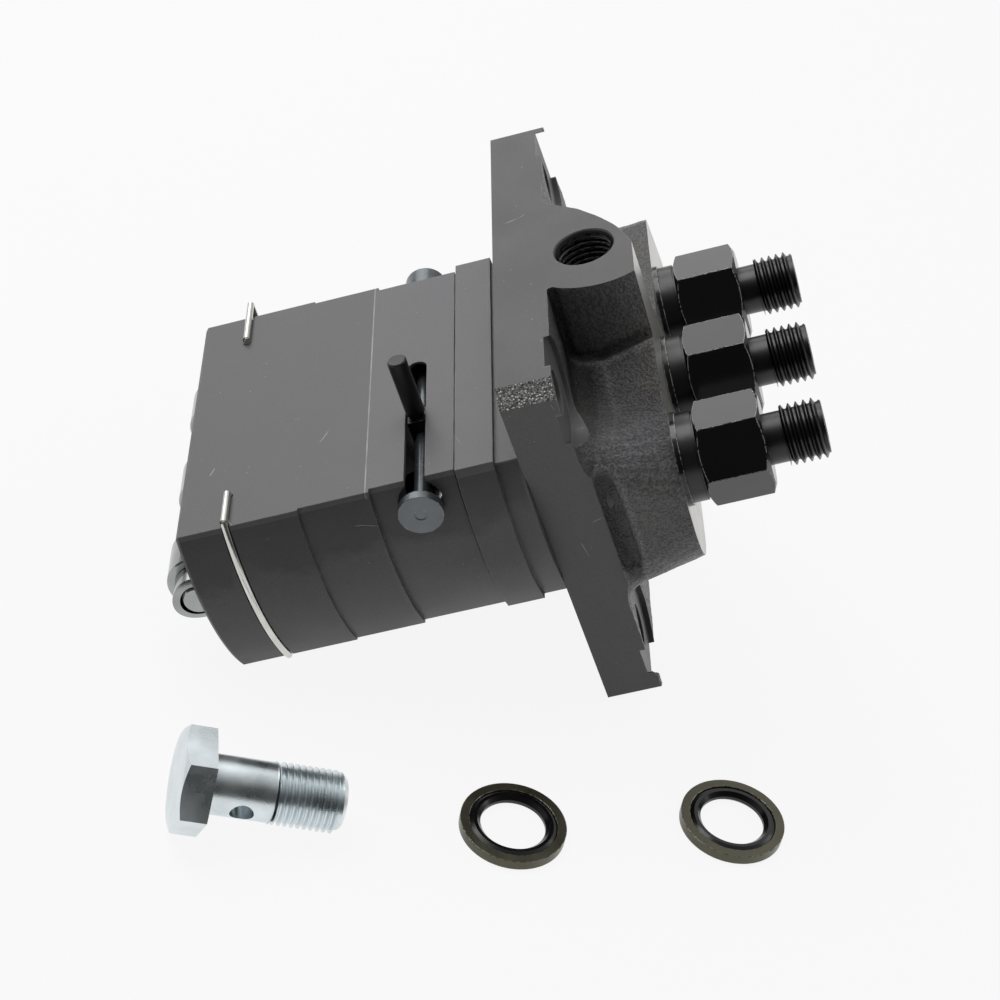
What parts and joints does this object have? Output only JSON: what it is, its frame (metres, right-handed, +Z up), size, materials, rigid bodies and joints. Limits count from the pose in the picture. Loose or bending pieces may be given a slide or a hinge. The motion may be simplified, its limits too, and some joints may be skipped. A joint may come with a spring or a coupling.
{
  "type": "diesel injection pump",
  "caption": "In-line diesel injection pump with a leaning four-bolt flange, delivery valve holders and control rack, lying beside its banjo bolt and bonded seals.",
  "frame": {"origin": "on the middle plunger's axis, at the flange face that meets the engine", "axes": "as the pump lies on a bench: +Z up, +Y along the row of plungers away from the rack's round end, +X level and on the side that the delivery valve holders point to; the pump's own axis rises from +X towards +Z"},
  "size_m": [0.1273, 0.1638, 0.0912],
  "materials": {
    "body": "blackened, fine matte",
    "holder": "black oxide, glossy",
    "black_pin": "black oxide, satin",
    "ground_steel": "ground",
    "copper": "plain",
    "spring_steel": "drawn wire",
    "wire": "bright drawn wire",
    "zinc": "bright zinc plate",
    "seal_steel": "olive-bronze passivated zinc",
    "rubber": "moulded, slightly glossy",
    "rack": "grey phosphated, polished rod",
    "plug": "dull"
  },
  "bodies": {
    "pump": {"pump_body": "body", "gallery_plug": "plug", "holder_washers": "holder", "holder_sealing_rings": "rubber", "seat_gaskets": "copper", "delivery_valve_seats": "ground_steel", "plunger_barrels": "ground_steel", "upper_spring_seats": "spring_steel", "tappet_guide_pins": "ground_steel", "tappet_wire_clip": "wire", "banjo_bolt": "zinc", "seal_rings": "seal_steel", "seal_rubbers": "rubber", "delivery_valve_holder_1": "holder", "delivery_valve_spring_1": "spring_steel", "plunger_spring_1": "spring_steel", "delivery_valve_holder_2": "holder", "delivery_valve_spring_2": "spring_steel", "plunger_spring_2": "spring_steel", "delivery_valve_holder_3": "holder", "delivery_valve_spring_3": "spring_steel", "plunger_spring_3": "spring_steel"},
    "rack": {"control_rack": "rack", "rack_lever_pin": "black_pin"},
    "valve_1": {"delivery_valve_1": "ground_steel"},
    "sleeve_1": {"control_sleeve_1": "ground_steel"},
    "plunger_1": {"plunger_1": "ground_steel"},
    "tappet_1": {"tappet_1": "ground_steel", "tappet_shim_1": "ground_steel", "lower_spring_seat_1": "spring_steel", "roller_pin_1": "ground_steel"},
    "roller_1": {"tappet_roller_1": "ground_steel"},
    "valve_2": {"delivery_valve_2": "ground_steel"},
    "sleeve_2": {"control_sleeve_2": "ground_steel"},
    "plunger_2": {"plunger_2": "ground_steel"},
    "tappet_2": {"tappet_2": "ground_steel", "tappet_shim_2": "ground_steel", "lower_spring_seat_2": "spring_steel", "roller_pin_2": "ground_steel"},
    "roller_2": {"tappet_roller_2": "ground_steel"},
    "valve_3": {"delivery_valve_3": "ground_steel"},
    "sleeve_3": {"control_sleeve_3": "ground_steel"},
    "plunger_3": {"plunger_3": "ground_steel"},
    "tappet_3": {"tappet_3": "ground_steel", "tappet_shim_3": "ground_steel", "lower_spring_seat_3": "spring_steel", "roller_pin_3": "ground_steel"},
    "roller_3": {"tappet_roller_3": "ground_steel"}
  },
  "joints": [
    {"name": "rack_slide", "type": "slide", "parent": "pump", "child": "rack", "axis": [0, 1, 0], "range_m": [-0.003, 0.0045]},
    {"name": "tappet_lift_1", "type": "slide", "parent": "pump", "child": "tappet_1", "axis": [0.8989, 0, 0.4382], "range_m": [0, 0.007], "stiffness_N_per_m": 3000, "springref_m": -0.004, "deforming": ["plunger_spring_1"]},
    {"name": "sleeve_turn_1", "type": "hinge", "parent": "pump", "child": "sleeve_1", "pos_m": [-0.01852, -0.026, -0.00903], "axis": [0.8989, 0, 0.4382], "range_deg": [-35, 24]},
    {"name": "plunger_slide_1", "type": "slide", "parent": "sleeve_1", "child": "plunger_1", "axis": [0.8989, 0, 0.4382], "range_m": [0, 0.007]},
    {"name": "roller_spin_1", "type": "hinge", "parent": "tappet_1", "child": "roller_1", "pos_m": [-0.06292, -0.026, -0.03068], "axis": [0, 1, 0], "continuous": true},
    {"name": "delivery_valve_lift_1", "type": "slide", "parent": "pump", "child": "valve_1", "axis": [0.8989, 0, 0.4382], "range_m": [0, 0.0025], "stiffness_N_per_m": 200, "springref_m": -0.002, "deforming": ["delivery_valve_spring_1"]},
    {"name": "tappet_lift_2", "type": "slide", "parent": "pump", "child": "tappet_2", "axis": [0.8989, 0, 0.4382], "range_m": [0, 0.007], "stiffness_N_per_m": 3000, "springref_m": -0.004, "deforming": ["plunger_spring_2"]},
    {"name": "sleeve_turn_2", "type": "hinge", "parent": "pump", "child": "sleeve_2", "pos_m": [-0.01852, 0, -0.00903], "axis": [0.8989, 0, 0.4382], "range_deg": [-35, 24]},
    {"name": "plunger_slide_2", "type": "slide", "parent": "sleeve_2", "child": "plunger_2", "axis": [0.8989, 0, 0.4382], "range_m": [0, 0.007]},
    {"name": "roller_spin_2", "type": "hinge", "parent": "tappet_2", "child": "roller_2", "pos_m": [-0.06292, 0, -0.03068], "axis": [0, 1, 0], "continuous": true},
    {"name": "delivery_valve_lift_2", "type": "slide", "parent": "pump", "child": "valve_2", "axis": [0.8989, 0, 0.4382], "range_m": [0, 0.0025], "stiffness_N_per_m": 200, "springref_m": -0.002, "deforming": ["delivery_valve_spring_2"]},
    {"name": "tappet_lift_3", "type": "slide", "parent": "pump", "child": "tappet_3", "axis": [0.8989, 0, 0.4382], "range_m": [0, 0.007], "stiffness_N_per_m": 3000, "springref_m": -0.004, "deforming": ["plunger_spring_3"]},
    {"name": "sleeve_turn_3", "type": "hinge", "parent": "pump", "child": "sleeve_3", "pos_m": [-0.01852, 0.026, -0.00903], "axis": [0.8989, 0, 0.4382], "range_deg": [-35, 24]},
    {"name": "plunger_slide_3", "type": "slide", "parent": "sleeve_3", "child": "plunger_3", "axis": [0.8989, 0, 0.4382], "range_m": [0, 0.007]},
    {"name": "roller_spin_3", "type": "hinge", "parent": "tappet_3", "child": "roller_3", "pos_m": [-0.06292, 0.026, -0.03068], "axis": [0, 1, 0], "continuous": true},
    {"name": "delivery_valve_lift_3", "type": "slide", "parent": "pump", "child": "valve_3", "axis": [0.8989, 0, 0.4382], "range_m": [0, 0.0025], "stiffness_N_per_m": 200, "springref_m": -0.002, "deforming": ["delivery_valve_spring_3"]}
  ],
  "couplings": [
    {"joint": "sleeve_turn_1", "follows": "rack_slide", "rad_per_m": -129},
    {"joint": "plunger_slide_1", "follows": "tappet_lift_1", "ratio": 1},
    {"joint": "sleeve_turn_2", "follows": "rack_slide", "rad_per_m": -129},
    {"joint": "plunger_slide_2", "follows": "tappet_lift_2", "ratio": 1},
    {"joint": "sleeve_turn_3", "follows": "rack_slide", "rad_per_m": -129},
    {"joint": "plunger_slide_3", "follows": "tappet_lift_3", "ratio": 1}
  ]
}
